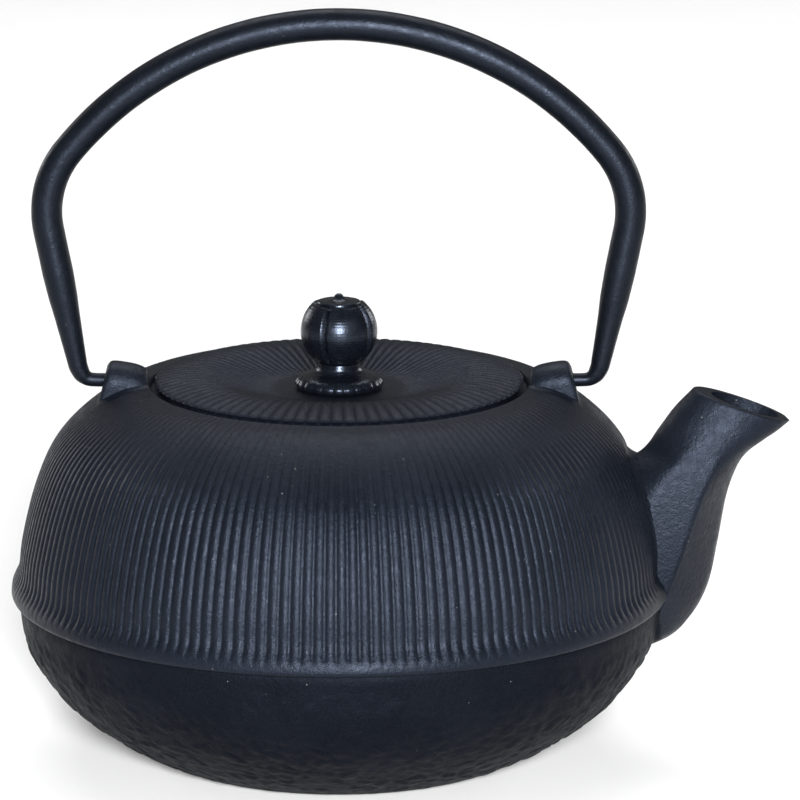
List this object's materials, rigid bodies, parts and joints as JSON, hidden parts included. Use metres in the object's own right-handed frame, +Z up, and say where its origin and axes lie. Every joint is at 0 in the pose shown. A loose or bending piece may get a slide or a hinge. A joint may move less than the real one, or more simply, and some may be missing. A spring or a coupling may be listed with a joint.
{
  "type": "teapot",
  "caption": "Squat cast-iron teapot with ribbed shoulders, a girdle bead, a side spout, a swinging bail handle, a lift-off lid with a ball knob and a lift-out infuser basket.",
  "frame": {"origin": "centre of the foot, on the surface the pot stands on", "axes": "+Z up the pot's axis; +X from the axis to the spout; the bail turns about a line along X"},
  "size_m": [0.2015, 0.17, 0.1944],
  "materials": {
    "cast_iron_enamel": "matte black coated cast iron, fine sand-cast grain",
    "bail_iron": "satin black coat, smooth",
    "knob_iron": "satin black coat, smooth",
    "stainless_steel": "plain stainless sheet and wire"
  },
  "bodies": {
    "pot": {"pot_body": "cast_iron_enamel"},
    "bail": {"bail_handle": "bail_iron"},
    "infuser": {"infuser_rim": "stainless_steel", "infuser_wall": "stainless_steel", "infuser_band": "stainless_steel", "infuser_floor": "stainless_steel"},
    "lid": {"lid": "cast_iron_enamel", "knob_seat": "knob_iron", "knob": "knob_iron", "screw_washer": "stainless_steel", "knob_screw": "stainless_steel"}
  },
  "joints": [
    {"name": "bail_swing", "type": "hinge", "parent": "pot", "child": "bail", "pos_m": [0, 0, 0.0976], "axis": [1, 0, 0], "range_deg": [-112, 112]},
    {"name": "infuser_lift", "type": "slide", "parent": "pot", "child": "infuser", "axis": [0, 0, 1], "range_m": [0, 0.062]},
    {"name": "lid_lift", "type": "slide", "parent": "infuser", "child": "lid", "axis": [0, 0, 1], "range_m": [0, 0.06]}
  ]
}
